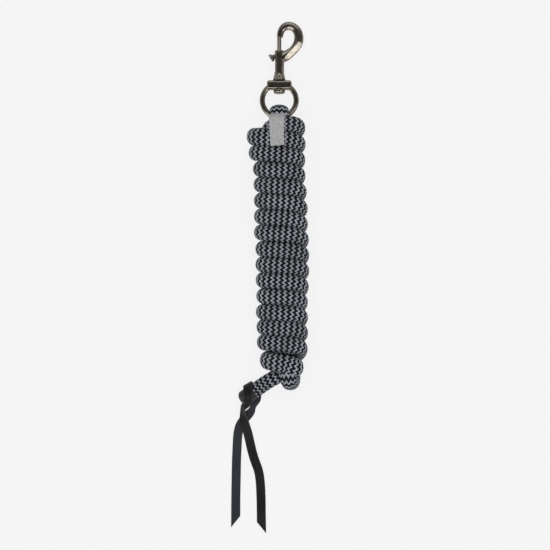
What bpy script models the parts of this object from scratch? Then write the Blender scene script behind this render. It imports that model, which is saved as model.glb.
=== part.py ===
"""Lead rope, wound into a hank and lying on a flat surface.

A braided rope is doubled round the ring of a swivel bolt snap, laid up as a two-strand core and wound
round itself. Its tail comes out through the lower bight and carries a leather popper.

Metres, +Z up. The hank lies along Y with the snap at +Y. The origin is on the surface, under the middle
of the whole object.
"""

import math

import bmesh
import bpy
from mathutils import Matrix, Vector

MM = 0.001
GAP = 0.3 * MM

# Rope
ROPE_D = 14 * MM
HANK_DEPTH = 38.3 * MM
HANK_MIDDLE_Z = HANK_DEPTH / 2
HANK_TOP_Y = 146.2 * MM
HANK_END_Y = -88.7 * MM

# Snap: everything on it is placed from the middle of the ring's wire, where it lies in the rope's eye.
SNAP_X = 8.7 * MM
WIRE_Y = 150.7 * MM
WIRE_Z = 17.5 * MM
SNAP_DROOP = math.radians(9.25)
RING_R = 15.9 * MM
WIRE_R = 2.5 * MM

BARREL_R = 4.5 * MM
BARREL_TOP = 63.6 * MM
FOOT_BOTTOM = 35.0 * MM
FOOT_TOP = 37.7 * MM
FOOT_R = 5.9 * MM
BORE_R = 2.6 * MM
BOLT_R = 1.95 * MM
BOLT_TIP = 77.0 * MM
BOLT_END = 53.6 * MM
BOLT_HOLE_R = 2.1 * MM
BORE_TOP = 62.2 * MM
TRAVEL = 11 * MM
NOSE_Y = 76.2 * MM
# The flat inside the crown of the hook, where a halter's ring bears.
SEAT_X = 8.8 * MM
SEAT_Y = 83.4 * MM
SEAT_HALF_LENGTH = 2.2 * MM

BLOCK_BOTTOM = 26.0 * MM
BLOCK_TOP = 34.7 * MM
BLOCK_HALF_WIDTH = 11.6 * MM
BLOCK_HALF_DEPTH = 4.4 * MM
STEM_R = 2.25 * MM
STEM_TOP = 38.6 * MM
RIVET_HEAD_R = 5.5 * MM
RIVET_HEAD_THICKNESS = 3.2 * MM

# Thumb knob: its axis leans towards the ring, and crosses the bolt's axis at KNOB_ROOT.
KNOB_ROOT = 61.2 * MM
KNOB_LEAN = math.radians(33)
KNOB_STEM_R = 1.4 * MM
KNOB_PIN_R = 0.8 * MM
SLOT_HALF_WIDTH = 1.75 * MM
# How far the slot runs on past the knob's axis when the bolt is drawn right back, to clear its collar.
SLOT_ROOM = 4.4 * MM

# Eye: the rope is flattened where it bears on the wire.
EYE_HALF_WIDTH = 8.5 * MM
EYE_HALF_THICKNESS = 4.7 * MM
EYE_BEND_R = WIRE_R + 0.45 * MM + EYE_HALF_THICKNESS

# Bight: the lower bend of the core, a little flattened too.
BIGHT_X = 20.3 * MM
BIGHT_BEND_R = 11.5 * MM
BIGHT_STRAIGHT = 1.5 * MM
BIGHT_DROP = 7.6 * MM
BIGHT_HALF_WIDTH = 8.2 * MM
BIGHT_HALF_THICKNESS = 6.2 * MM

# Label
LABEL_X = 6.7 * MM
LABEL_THICKNESS = 1.0 * MM

# Popper
STRAP_WIDTH = 8.6 * MM
STRAP_THICKNESS = 2.2 * MM

METAL = (0.115, 0.105, 0.09)
LEATHER = (0.02, 0.021, 0.024)
YARN = (0.12, 0.125, 0.14)
LABEL = (0.56, 0.55, 0.54)
THREAD = (0.015, 0.015, 0.02)


def clear_scene():
    for obj in list(bpy.data.objects):
        bpy.data.objects.remove(obj, do_unlink=True)


def material(name, colour, roughness, metallic=0.0):
    made = bpy.data.materials.new(name)
    made.use_nodes = True
    shader = made.node_tree.nodes["Principled BSDF"]
    shader.inputs["Base Color"].default_value = (*colour, 1)
    shader.inputs["Roughness"].default_value = roughness
    shader.inputs["Metallic"].default_value = metallic
    return made


def add_object(name, bm, mat=None, parent=None, smooth=True):
    bmesh.ops.recalc_face_normals(bm, faces=bm.faces)
    mesh = bpy.data.meshes.new(name)
    bm.to_mesh(mesh)
    bm.free()
    if smooth:
        mesh.shade_smooth()
        mesh.set_sharp_from_angle(angle=math.radians(40))
    obj = bpy.data.objects.new(name, mesh)
    bpy.context.collection.objects.link(obj)
    if mat:
        mesh.materials.append(mat)
    if parent:
        obj.parent = parent
    return obj


def hide_helper(obj):
    obj.hide_render = True
    obj.display_type = "WIRE"
    return obj


def boolean(obj, other, operation):
    modifier = obj.modifiers.new(f"{operation.lower()}_{other.name}", "BOOLEAN")
    modifier.object = hide_helper(other)
    modifier.operation = operation


def skin_rings(bm, rings):
    """Faces between rings of vertices of equal count, with a flat cap on each end."""
    for ring, following in zip(rings, rings[1:]):
        for i in range(len(ring)):
            j = (i + 1) % len(ring)
            bm.faces.new((ring[i], ring[j], following[j], following[i]))
    bm.faces.new(rings[0])
    bm.faces.new(rings[-1])


def turned(name, profile, segments=32, mat=None, parent=None, place=None):
    """A solid of revolution about local Y. profile holds (radius, y) from one end of it to the other."""
    bm = bmesh.new()
    rings = []
    for radius, y in profile:
        ring = []
        for i in range(segments):
            angle = 2 * math.pi * i / segments
            ring.append(bm.verts.new((radius * math.cos(angle), y, radius * math.sin(angle))))
        rings.append(ring)
    skin_rings(bm, rings)
    if place:
        bmesh.ops.transform(bm, matrix=place, verts=bm.verts)
    return add_object(name, bm, mat, parent)


def catmull(points, per_span):
    """A smooth run of values through the given rows, which may hold a place and any sizes beside it."""
    rows = [points[0], *points, points[-1]]
    out = []
    for a, b, c, d in zip(rows, rows[1:], rows[2:], rows[3:]):
        for step in range(per_span):
            t = step / per_span
            out.append(
                tuple(
                    0.5 * (2 * q + (r - p) * t + (2 * p - 5 * q + 4 * r - s) * t * t
                           + (3 * q - p - 3 * r + s) * t ** 3)
                    for p, q, r, s in zip(a, b, c, d)
                )
            )
    out.append(tuple(points[-1]))
    return out


def oval(half_width, half_depth, count, power=2.4):
    """Points of a superellipse, flatter than an ellipse as power goes over 2."""
    out = []
    for i in range(count):
        angle = 2 * math.pi * i / count
        c = math.cos(angle)
        s = math.sin(angle)
        out.append(
            (
                half_width * math.copysign(abs(c) ** (2 / power), c),
                half_depth * math.copysign(abs(s) ** (2 / power), s),
            )
        )
    return out


def swept(name, path, section, side, mat=None, parent=None, slant=None):
    """A tube along path. section(i) gives its points across and through, and across lies near side,
    which is a direction or a function of i."""
    bm = bmesh.new()
    rings = []
    last = len(path) - 1
    for i, place in enumerate(path):
        along = (path[min(i + 1, last)] - path[max(i - 1, 0)]).normalized()
        near = side(i) if callable(side) else side
        across = near - along * near.dot(along)
        across.normalize()
        through = across.cross(along)
        skew = slant(i) if slant else 0.0
        rings.append(
            [bm.verts.new(place + across * u + through * v + along * u * skew) for u, v in section(i)]
        )
    skin_rings(bm, rings)
    return add_object(name, bm, mat, parent)


def box(name, low, high, parent=None, mat=None, bevel=0.0):
    bm = bmesh.new()
    bmesh.ops.create_cube(bm, size=1)
    size = Vector(high) - Vector(low)
    middle = (Vector(high) + Vector(low)) / 2
    bmesh.ops.transform(bm, matrix=Matrix.Translation(middle) @ Matrix.Diagonal((*size, 1)), verts=bm.verts)
    if bevel:
        bmesh.ops.bevel(bm, geom=bm.edges[:], offset=bevel, segments=2, profile=0.5, affect="EDGES")
    return add_object(name, bm, mat, parent)


def add_empty(name, place, rotation=(0, 0, 0)):
    empty = bpy.data.objects.new(name, None)
    empty.empty_display_size = 10 * MM
    empty.location = place
    empty.rotation_euler = rotation
    bpy.context.collection.objects.link(empty)
    return empty


# Places along the hook, from the nose to its root in the barrel, in millimetres from the middle of the
# ring's wire: across, along, half width, half depth.
HOOK_LINE = [
    (0.6, 76.2, 2.75, 2.6),
    (1.1, 79.9, 3.1, 2.8),
    (2.6, 83.8, 3.3, 3.0),
    (5.2, 86.2, 3.7, 3.2),
    (8.8, 87.15, 3.95, 3.3),
    (13.0, 86.0, 3.95, 3.4),
    (16.5, 82.8, 4.0, 3.5),
    (18.2, 78.4, 4.2, 3.6),
    (18.3, 73.3, 4.4, 3.7),
    (16.9, 68.9, 4.3, 3.8),
    (14.0, 64.7, 4.1, 3.9),
    (10.2, 61.2, 4.3, 4.0),
    (6.4, 58.6, 4.9, 4.0),
    (2.2, 56.2, 4.4, 3.9),
]


def make_snap_body(frame, metal):
    foot_flare = 1.2 * MM
    body = turned(
        "snap_body",
        [
            (FOOT_R - 0.4 * MM, FOOT_BOTTOM),
            (FOOT_R, FOOT_BOTTOM + 0.4 * MM),
            (FOOT_R, FOOT_TOP - 0.5 * MM),
            (FOOT_R - 0.5 * MM, FOOT_TOP),
            (BARREL_R + 0.3 * MM, FOOT_TOP + foot_flare),
            (BARREL_R, FOOT_TOP + 2.5 * foot_flare),
            (BARREL_R, BARREL_TOP - 3 * MM),
            (BARREL_R - 0.1 * MM, BARREL_TOP - 0.5 * MM),
            (BARREL_R - 0.6 * MM, BARREL_TOP),
        ],
        mat=metal,
        parent=frame,
    )
    line = catmull([tuple(v * MM for v in row) for row in HOOK_LINE], 3)
    path = [Vector((x, y, 0)) for x, y, _, _ in line]
    hook = swept(
        "hook_arm",
        path,
        lambda i: [(v, u) for u, v in oval(line[i][2], line[i][3], 20)],
        Vector((0, 0, 1)),
        parent=frame,
    )
    boolean(body, hook, "UNION")
    bore = turned(
        "bore_cutter",
        [(BORE_R, FOOT_BOTTOM - 1 * MM), (BORE_R, BORE_TOP), (BOLT_HOLE_R + GAP / 2, BORE_TOP),
         (BOLT_HOLE_R + GAP / 2, NOSE_Y + 1.1 * MM)],
        segments=24,
        parent=frame,
    )
    boolean(body, bore, "DIFFERENCE")
    root_x = BARREL_R / math.cos(KNOB_LEAN)
    slot_top = KNOB_ROOT + 0.2 * MM
    slot_bottom = KNOB_ROOT - root_x * math.sin(KNOB_LEAN) - TRAVEL - SLOT_ROOM
    slot = box(
        "slot_cutter",
        (-BARREL_R - 2 * MM, slot_bottom, -SLOT_HALF_WIDTH),
        (-0.5 * MM, slot_top, SLOT_HALF_WIDTH),
        parent=frame,
    )
    boolean(body, slot, "DIFFERENCE")
    seat = box(
        "seat_cutter",
        (SEAT_X - SEAT_HALF_LENGTH, SEAT_Y - 1.5 * MM, -5 * MM),
        (SEAT_X + SEAT_HALF_LENGTH, SEAT_Y, 5 * MM),
        parent=frame,
    )
    boolean(body, seat, "DIFFERENCE")


def make_bolt(frame, metal):
    piston_top = BORE_TOP - GAP
    bolt = turned(
        "bolt_pin",
        [
            (BOLT_R, BOLT_END),
            (BORE_R - GAP, BOLT_END + 0.3 * MM),
            (BORE_R - GAP, piston_top - 0.3 * MM),
            (BOLT_R, piston_top),
            (BOLT_R, BOLT_TIP - 0.5 * MM),
            (BOLT_R - 0.5 * MM, BOLT_TIP),
        ],
        segments=24,
        mat=metal,
        parent=frame,
    )
    along_knob = Matrix.Translation((0, KNOB_ROOT, 0)) @ Matrix.Rotation(
        math.radians(90) + KNOB_LEAN, 4, "Z"
    )
    pin_start = 0.9 * MM
    socket = turned(
        "socket_cutter",
        [(KNOB_PIN_R + GAP, pin_start - GAP), (KNOB_PIN_R + GAP, 5 * MM)],
        segments=16,
        parent=frame,
        place=along_knob,
    )
    boolean(bolt, socket, "DIFFERENCE")
    collar = 6.4 * MM
    turned(
        "thumb_knob",
        [
            (KNOB_PIN_R, pin_start),
            (KNOB_PIN_R, 3.9 * MM),
            (KNOB_STEM_R, 4.0 * MM),
            (KNOB_STEM_R, collar),
            (2.7 * MM, collar + 0.2 * MM),
            (3.1 * MM, collar + 1.0 * MM),
            (3.5 * MM, 8.6 * MM),
            (3.9 * MM, 8.9 * MM),
            (3.9 * MM, 9.4 * MM),
            (3.4 * MM, 9.7 * MM),
        ],
        segments=24,
        mat=metal,
        parent=frame,
        place=along_knob,
    )


def make_spring(frame, metal):
    turns = 6
    per_turn = 12
    wire_r = 0.3 * MM
    coil_r = 1.7 * MM
    low = STEM_TOP + GAP + wire_r
    high = BOLT_END - GAP - wire_r
    path = []
    for i in range(turns * per_turn + 1):
        angle = 2 * math.pi * i / per_turn
        y = low + (high - low) * i / (turns * per_turn)
        path.append(Vector((coil_r * math.cos(angle), y, coil_r * math.sin(angle))))
    swept("bolt_spring", path, lambda i: oval(wire_r, wire_r, 6, 2), Vector((0, 1, 0)), metal, frame)


def make_swivel(frame, metal):
    bm = bmesh.new()
    around = 48
    sides = 16
    rings = []
    for i in range(around):
        angle = 2 * math.pi * i / around
        ring = []
        for j in range(sides):
            turn = 2 * math.pi * j / sides
            r = RING_R + WIRE_R * math.cos(turn)
            place = (r * math.sin(angle), RING_R - r * math.cos(angle), WIRE_R * math.sin(turn))
            ring.append(bm.verts.new(place))
        rings.append(ring)
    for i in range(around):
        ring = rings[i]
        following = rings[(i + 1) % around]
        for j in range(sides):
            k = (j + 1) % sides
            bm.faces.new((ring[j], ring[k], following[k], following[j]))
    ring_object = add_object("swivel_ring", bm, metal, frame)
    block = box(
        "swivel_block",
        (-BLOCK_HALF_WIDTH, BLOCK_BOTTOM, -BLOCK_HALF_DEPTH),
        (BLOCK_HALF_WIDTH, BLOCK_TOP, BLOCK_HALF_DEPTH),
        parent=frame,
        bevel=1.3 * MM,
    )
    boolean(ring_object, block, "UNION")
    hole = turned(
        "swivel_hole_cutter",
        [(STEM_R + GAP, BLOCK_BOTTOM - 2 * MM), (STEM_R + GAP, BLOCK_TOP + 2 * MM)],
        segments=24,
        parent=frame,
    )
    boolean(ring_object, hole, "DIFFERENCE")
    head_top = BLOCK_BOTTOM - GAP
    head_bottom = head_top - RIVET_HEAD_THICKNESS
    turned(
        "swivel_rivet",
        [
            (RIVET_HEAD_R - 1.2 * MM, head_bottom),
            (RIVET_HEAD_R - 0.3 * MM, head_bottom + 1.1 * MM),
            (RIVET_HEAD_R, head_bottom + 1.6 * MM),
            (RIVET_HEAD_R, head_top - 0.4 * MM),
            (RIVET_HEAD_R - 0.4 * MM, head_top),
            (STEM_R, head_top),
            (STEM_R, STEM_TOP),
        ],
        segments=24,
        mat=metal,
        parent=frame,
    )


# The hank's outline in millimetres: along Y, left side, right side.
HANK_OUTLINE = [
    (146.2, -19.5, 31.0),
    (138, -21.5, 33.1),
    (118, -19.0, 33.1),
    (100, -15.7, 33.1),
    (65, -14.9, 35.2),
    (37, -14.5, 36.3),
    (9, -13.5, 36.6),
    (-20, -13.0, 35.7),
    (-50, -12.4, 35.4),
    (-66, -11.8, 34.8),
    (-80, -8.5, 31.5),
    (-88.7, -5.0, 29.5),
]


def make_hank(yarn):
    corner_points = 7
    bm = bmesh.new()
    rings = []
    for y, left, right in HANK_OUTLINE:
        middle = (left + right) / 2 * MM
        half = (right - left) / 2 * MM
        r = HANK_DEPTH / 2
        ring = []
        for side in (1, -1):
            for i in range(corner_points):
                angle = math.radians(90 - 180 * i / (corner_points - 1))
                x = middle + side * (half - r + r * math.cos(angle))
                ring.append(bm.verts.new((x, y * MM, r + side * r * math.sin(angle))))
        rings.append(ring)
    skin_rings(bm, rings)
    add_object("rope_hank", bm, yarn)


def make_eye(yarn):
    """The rope over the ring's wire, flattened as it bears on it, with both legs down to the hank."""
    steps = 12
    leg_start = WIRE_Y - 1.5 * MM
    leg_end = HANK_TOP_Y + GAP
    front = WIRE_Z + EYE_BEND_R
    back = WIRE_Z - EYE_BEND_R
    path = [Vector((SNAP_X, leg_end, front)), Vector((SNAP_X, leg_start, front))]
    for i in range(steps + 1):
        angle = math.radians(90 - 180 * i / steps)
        y = WIRE_Y + EYE_BEND_R * math.cos(angle)
        path.append(Vector((SNAP_X, y, WIRE_Z + EYE_BEND_R * math.sin(angle))))
    path += [Vector((SNAP_X, leg_start, back)), Vector((SNAP_X, leg_end, back))]
    section = oval(EYE_HALF_WIDTH, EYE_HALF_THICKNESS, 16, 2)
    swept("rope_eye", path, lambda i: section, Vector((1, 0, 0)), yarn)


def make_eye_stitching(thread):
    """A flat band of thread round both legs of the eye, between the wire and the hank."""
    band = 0.9 * MM
    clearance = 0.35 * MM
    low_y = HANK_TOP_Y + GAP + 0.1 * MM
    high_y = WIRE_Y - WIRE_R - GAP - 0.1 * MM
    bm = bmesh.new()
    loops = []
    for grow in (clearance, clearance + band):
        for y in (low_y, high_y):
            across = EYE_HALF_WIDTH + grow
            through = EYE_BEND_R + EYE_HALF_THICKNESS + grow
            loop = []
            for u, v in oval(across, through, 32, 5):
                loop.append(bm.verts.new((SNAP_X + u, y, WIRE_Z + v)))
            loops.append(loop)
    inner_low, inner_high, outer_low, outer_high = loops
    for first, second in (
        (inner_low, inner_high),
        (outer_low, outer_high),
        (inner_low, outer_low),
        (inner_high, outer_high),
    ):
        for i in range(len(first)):
            j = (i + 1) % len(first)
            bm.faces.new((first[i], first[j], second[j], second[i]))
    add_object("eye_stitching", bm, thread)


def rope_tube(name, path, yarn):
    curve = bpy.data.curves.new(name, "CURVE")
    curve.dimensions = "3D"
    curve.bevel_depth = ROPE_D / 2
    curve.bevel_resolution = 3
    curve.use_fill_caps = True
    spline = curve.splines.new("POLY")
    spline.points.add(len(path) - 1)
    for point, place in zip(spline.points, path):
        point.co = (*place, 1)
    obj = bpy.data.objects.new(name, curve)
    bpy.context.collection.objects.link(obj)
    curve.materials.append(yarn)
    return obj


def make_bight(yarn):
    """The lower end of the two core strands, a bend from front to back under the last turn."""
    start_y = HANK_END_Y - GAP
    steps = 10
    path = [Vector((BIGHT_X, start_y, HANK_MIDDLE_Z + BIGHT_BEND_R))]
    for i in range(steps + 1):
        angle = math.radians(90 - 180 * i / steps)
        y = start_y - BIGHT_STRAIGHT - BIGHT_DROP * math.cos(angle)
        path.append(Vector((BIGHT_X, y, HANK_MIDDLE_Z + BIGHT_BEND_R * math.sin(angle))))
    path.append(Vector((BIGHT_X, start_y, HANK_MIDDLE_Z - BIGHT_BEND_R)))
    section = oval(BIGHT_HALF_WIDTH, BIGHT_HALF_THICKNESS, 14, 2)
    swept("rope_bight", path, lambda i: section, Vector((1, 0, 0)), yarn)


# The tail's route in millimetres, from the hank to its bound end.
TAIL_ROUTE = [
    (1.2, -95.3, 15.4),
    (-3.2, -98.3, 13.2),
    (-7.6, -101.4, 11.4),
    (-12.0, -104.6, 10.4),
    (-16.2, -107.6, 10.2),
    (-20.3, -110.5, 10.2),
]
TAIL_DIRECTION = Vector((-0.811, -0.585, 0)).normalized()


def make_tail(yarn, thread):
    path = [Vector(row) * MM for row in TAIL_ROUTE]
    rope_tube("rope_tail", path, yarn)
    cap_start = path[-1] + TAIL_DIRECTION * GAP
    profile = [
        (7.0, 0.0),
        (7.2, 0.5),
        (7.2, 2.2),
        (7.0, 3.6),
        (6.1, 5.2),
        (4.4, 6.4),
        (2.2, 7.0),
    ]
    turn = Matrix.Rotation(math.atan2(TAIL_DIRECTION.y, TAIL_DIRECTION.x) - math.radians(90), 4, "Z")
    turned(
        "rope_end_binding",
        [(r * MM, y * MM) for r, y in profile],
        segments=20,
        mat=thread,
        place=Matrix.Translation(cap_start) @ turn,
    )


def make_label(mat):
    """A folded woven label, sewn on at the eye and lying over the first turns."""
    # Along Y, up, and half width, in millimetres.
    rows = [
        (152.6, 31.4, 9.1),
        (150.0, 31.9, 8.9),
        (148.3, 33.6, 8.5),
        (147.5, 36.4, 8.2),
        (146.7, 38.8, 8.0),
        (144.6, 39.5, 7.7),
        (136.0, 39.4, 7.2),
        (129.0, 39.3, 6.9),
        (123.4, 39.3, 6.7),
    ]
    path = [Vector((LABEL_X, y * MM, z * MM)) for y, z, _ in rows]
    half_thickness = LABEL_THICKNESS / 2

    def section(i):
        w = rows[i][2] * MM
        return [(-w, -half_thickness), (w, -half_thickness), (w, half_thickness), (-w, half_thickness)]

    swept("woven_label", path, section, Vector((1, 0, 0)), mat)


# The popper's route in millimetres: from the left tail's tip to the rope, and from the rope to the right
# tail's tip. Between them it goes round the rope's end.
LEFT_TAIL_ROUTE = [
    (-32.3, -229.7, 1.2),
    (-32.2, -209.1, 1.2),
    (-31.9, -190.3, 1.2),
    (-31.5, -171.5, 1.2),
    (-30.9, -158.0, 1.2),
    (-30.3, -148.0, 1.2),
    (-28.6, -140.0, 1.2),
    (-25.2, -133.8, 1.2),
    (-21.4, -129.0, 1.2),
    (-17.6, -124.2, 1.2),
    (-14.6, -119.6, 1.2),
    (-13.4, -115.0, 1.2),
]
RIGHT_TAIL_ROUTE = [
    (-23.6, -124.6, 9.6),
    (-24.4, -128.6, 6.0),
    (-24.2, -133.4, 4.2),
    (-23.0, -139.0, 4.0),
    (-21.2, -145.2, 3.2),
    (-19.6, -151.6, 1.6),
    (-18.2, -158.0, 1.2),
    (-16.4, -165.4, 1.2),
    (-14.0, -173.0, 1.2),
    (-10.9, -181.6, 1.2),
    (-9.2, -192.0, 1.2),
    (-8.4, -208.0, 1.2),
    (-8.2, -222.0, 1.2),
    (-8.0, -235.4, 1.2),
]
# Round the rope's end: the angle about the rope from its upper side in degrees, and how far along it.
LOOP_STATIONS = [
    (-110, -4.4),
    (-85, -4.6),
    (-57, -4.6),
    (-28, -4.6),
    (0, -4.5),
    (28, -3.8),
    (59, -2.2),
    (90, 0.5),
    (118, 3.6),
    (146, 7.2),
]
STRAP_LOOP_R = ROPE_D / 2 + STRAP_THICKNESS / 2 + 3 * GAP
POINTED_END_SKEW = 1.25


def make_popper(leather):
    end = Vector(TAIL_ROUTE[-1]) * MM
    upper = Vector((-TAIL_DIRECTION.y, TAIL_DIRECTION.x, 0)) * -1
    up = Vector((0, 0, 1))
    loop = []
    for degrees, along in LOOP_STATIONS:
        angle = math.radians(degrees)
        radial = upper * math.cos(angle) + up * math.sin(angle)
        loop.append(end + TAIL_DIRECTION * along * MM + radial * STRAP_LOOP_R)
    first = [Vector(row) * MM for row in LEFT_TAIL_ROUTE]
    second = [Vector(row) * MM for row in RIGHT_TAIL_ROUTE]
    path = first + loop + second
    w = STRAP_WIDTH / 2
    h = STRAP_THICKNESS / 2
    section = [(-w, -h), (w, -h), (w, h), (-w, h)]
    across = Vector((1, 0, 0))
    blend = 3

    def side(i):
        into_loop = (i - len(first) + blend) / blend
        out_of_loop = (len(first) + len(loop) - 1 + blend - i) / blend
        weight = max(0.0, min(1.0, into_loop, out_of_loop))
        return across * (1 - weight) - TAIL_DIRECTION * weight

    def slant(i):
        return POINTED_END_SKEW if i in (0, len(path) - 1) else 0.0

    swept("popper_strap", path, lambda i: section, side, leather, slant=slant)


def main():
    clear_scene()
    metal = material("antique_nickel", METAL, 0.28, 1.0)
    steel = material("spring_steel", (0.45, 0.45, 0.44), 0.3, 1.0)
    yarn = material("braided_yarn", YARN, 0.85)
    leather = material("black_leather", LEATHER, 0.55)
    thread = material("black_thread", THREAD, 0.8)
    label = material("woven_label", LABEL, 0.8)

    snap_frame = add_empty("snap_frame", (SNAP_X, WIRE_Y, WIRE_Z), (-SNAP_DROOP, 0, 0))
    make_snap_body(snap_frame, metal)
    make_bolt(snap_frame, metal)
    make_spring(snap_frame, steel)
    make_swivel(snap_frame, metal)
    make_hank(yarn)
    make_eye(yarn)
    make_eye_stitching(thread)
    make_bight(yarn)
    make_tail(yarn, thread)
    make_label(label)
    make_popper(leather)


main()
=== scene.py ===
"""Looks of the lead rope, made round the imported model. Places and sizes are in millimetres, and MM turns
them into metres. +Y runs along the hank to the snap, and +Z is up off the surface."""

import math

import bmesh
import bpy
import numpy as np
from mathutils import Matrix, Vector
from mathutils.bvhtree import BVHTree


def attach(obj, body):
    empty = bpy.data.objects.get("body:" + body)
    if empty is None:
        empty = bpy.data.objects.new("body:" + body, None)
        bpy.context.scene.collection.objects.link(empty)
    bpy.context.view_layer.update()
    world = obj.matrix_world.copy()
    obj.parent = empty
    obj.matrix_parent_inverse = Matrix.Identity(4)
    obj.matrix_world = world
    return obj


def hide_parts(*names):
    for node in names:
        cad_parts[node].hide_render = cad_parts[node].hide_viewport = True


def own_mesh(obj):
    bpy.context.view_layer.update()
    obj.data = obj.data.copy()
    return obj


MM = 0.001
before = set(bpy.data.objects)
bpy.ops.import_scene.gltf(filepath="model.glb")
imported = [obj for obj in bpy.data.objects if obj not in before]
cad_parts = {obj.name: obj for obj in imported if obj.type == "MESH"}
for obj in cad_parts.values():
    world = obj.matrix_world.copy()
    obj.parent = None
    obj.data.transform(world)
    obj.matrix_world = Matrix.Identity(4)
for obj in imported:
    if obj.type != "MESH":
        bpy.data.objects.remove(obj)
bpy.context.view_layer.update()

# The middle of the ring's wire, where the rope's eye holds it.
EYE_CENTRE = (8.7, 150.7, 17.5)
# The middle of the popper's loop round the rope's end, and the way that the end points.
ROPE_END = (-20.3, -110.5, 10.2)
ROPE_END_WAY = (-0.811022, -0.585016, 0)

# ---------------------------------------------------------------- camera, floor and light

SENSOR_WIDTH = 36
LENS = 400
# The view's width, at this height over the surface, and the middle of the view.
SEEN_WIDTH = 517 * MM
SEEN_AT_HEIGHT = 8 * MM
VIEW_MIDDLE = (4.7 * MM, 2.4 * MM)
FLOOR_GLOW = 0.825
# What the boxes of light are turned to.
UPPER_HANK = (0, 0.2, 0)


def make_camera():
    data = bpy.data.cameras.new("camera")
    data.sensor_width = SENSOR_WIDTH
    data.lens = LENS
    data.clip_end = 40
    camera = bpy.data.objects.new("camera", data)
    bpy.context.scene.collection.objects.link(camera)
    camera.location = (*VIEW_MIDDLE, SEEN_WIDTH * LENS / SENSOR_WIDTH + SEEN_AT_HEIGHT)
    bpy.context.scene.camera = camera


def node_material(name):
    mat = bpy.data.materials.new(name)
    mat.use_nodes = True
    return mat, mat.node_tree, mat.node_tree.nodes["Principled BSDF"]


def make_floor():
    mat, _, shader = node_material("studio_floor")
    shader.inputs["Base Color"].default_value = (0.12, 0.12, 0.12, 1)
    shader.inputs["Roughness"].default_value = 0.9
    shader.inputs["Specular IOR Level"].default_value = 0.1
    shader.inputs["Emission Color"].default_value = (1, 1, 1, 1)
    shader.inputs["Emission Strength"].default_value = FLOOR_GLOW
    bpy.ops.mesh.primitive_plane_add(size=60, location=(0, 0, -0.3 * MM))
    floor = bpy.context.object
    floor.name = "studio_floor"
    floor.data.materials.append(mat)


def make_world():
    """A room that is dark overhead and pale round the sides: metal shows dark faces and bright rims."""
    world = bpy.data.worlds.new("studio")
    bpy.context.scene.world = world
    world.use_nodes = True
    tree = world.node_tree
    background = tree.nodes["Background"]
    coordinates = tree.nodes.new("ShaderNodeTexCoord")
    split = tree.nodes.new("ShaderNodeSeparateXYZ")
    ramp = tree.nodes.new("ShaderNodeValToRGB")
    tree.links.new(coordinates.outputs["Generated"], split.inputs[0])
    tree.links.new(split.outputs["Z"], ramp.inputs[0])
    tree.links.new(ramp.outputs[0], background.inputs["Color"])
    stops = ramp.color_ramp.elements
    stops[0].color = (0.62, 0.61, 0.6, 1)
    stops[1].color = (0.07, 0.07, 0.07, 1)
    stops.new(0.3).color = (0.42, 0.41, 0.4, 1)
    stops.new(0.65).color = (0.1, 0.097, 0.093, 1)
    background.inputs["Strength"].default_value = 1.0


def area_light(name, place, aim, size, power, glossy):
    """A soft light. Where glossy is set it shows only in glossy reflections, and elsewhere never in them."""
    data = bpy.data.lights.new(name, "AREA")
    data.shape = "RECTANGLE"
    data.size, data.size_y = size
    data.energy = power
    light = bpy.data.objects.new(name, data)
    light.location = place
    light.rotation_euler = (Vector(aim) - Vector(place)).to_track_quat("-Z", "Y").to_euler()
    light.visible_glossy = glossy
    light.visible_diffuse = not glossy
    light.visible_camera = False
    bpy.context.scene.collection.objects.link(light)


def make_lights():
    area_light("overhead", (0, 0, 1.9), (0, 0, 0), (2.4, 2.4), 31, glossy=False)
    area_light("right_box", (0.97, -0.12, 1.36), UPPER_HANK, (0.65, 0.75), 7, glossy=True)
    area_light("lower_box", (-0.3, -0.95, 1.3), UPPER_HANK, (2.4, 0.6), 20, glossy=True)
    area_light("lower_left_box", (-1.1, -0.9, 0.6), UPPER_HANK, (0.8, 0.5), 5, glossy=True)
    area_light("upper_box", (-0.1, 1.7, 1.0), UPPER_HANK, (1.8, 1.6), 11, glossy=True)


make_camera()
make_world()
make_lights()
make_floor()
bpy.context.scene.view_settings.view_transform = "Standard"

# ---------------------------------------------------------------- the rope's route

HANK_Z = 19.15
WRAP_RISE = 12.7
BEND_R = 7.65
LAST_BEND_R = 6.5

# How the rope's section is pressed: through and across, as shares of the round section.
TURN = (0.9, 1.05)
WIDE_TURN = (0.88, 1.15)
LAST_TURN = (0.86, 1.2)
CORE = (0.86, 0.9)
EYE = (0.67, 1.24)
BIGHT = (0.9, 1.08)
FREE = (1.0, 1.0)
MIXED = (0.94, 1.03)

# Middle of each half turn, snap end first: (right side's Y, right outer X, left side's Y, left outer X).
TURNS = [
    (140.2, 33.0, 132.1, -21.9),
    (125.0, 33.3, 117.0, -19.9),
    (110.4, 32.9, 101.9, -15.9),
    (95.5, 33.1, 87.2, -15.3),
    (80.0, 34.3, 72.2, -15.0),
    (64.5, 35.2, 57.4, -14.9),
    (49.9, 35.3, 42.4, -14.9),
    (35.5, 36.3, 26.9, -13.6),
    (21.0, 36.6, 12.3, -13.5),
    (6.4, 36.6, -2.3, -13.3),
    (-8.4, 36.1, -17.3, -12.7),
    (-22.8, 35.3, -32.3, -13.1),
    (-37.2, 35.4, -46.4, -12.5),
    (-51.6, 35.5, -60.7, -12.2),
    (-66.6, 35.1, -77.3, -9.5),
]
WRAP_HALF = 5.9
POINTS_PER_HALF_TURN = 24
# A turn is a superellipse, squarer than an ellipse as this goes over 2.
TURN_POWER = 2.5
# The share of a turn's way down the hank that is spread evenly over its crossing.
EVEN_SHARE = 0.3
# The core's two strands lie this far to each side of its middle.
CORE_HALF = 6.1
# The last crossing stops this many points early, where the last bend begins, round this place.
POINTS_LEFT_OUT = 9
LAST_BEND = (19.7, -84.0, 25.3)
ROUTE_SPACING = 1.5
ROUTE_SMOOTHING = 8


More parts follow.
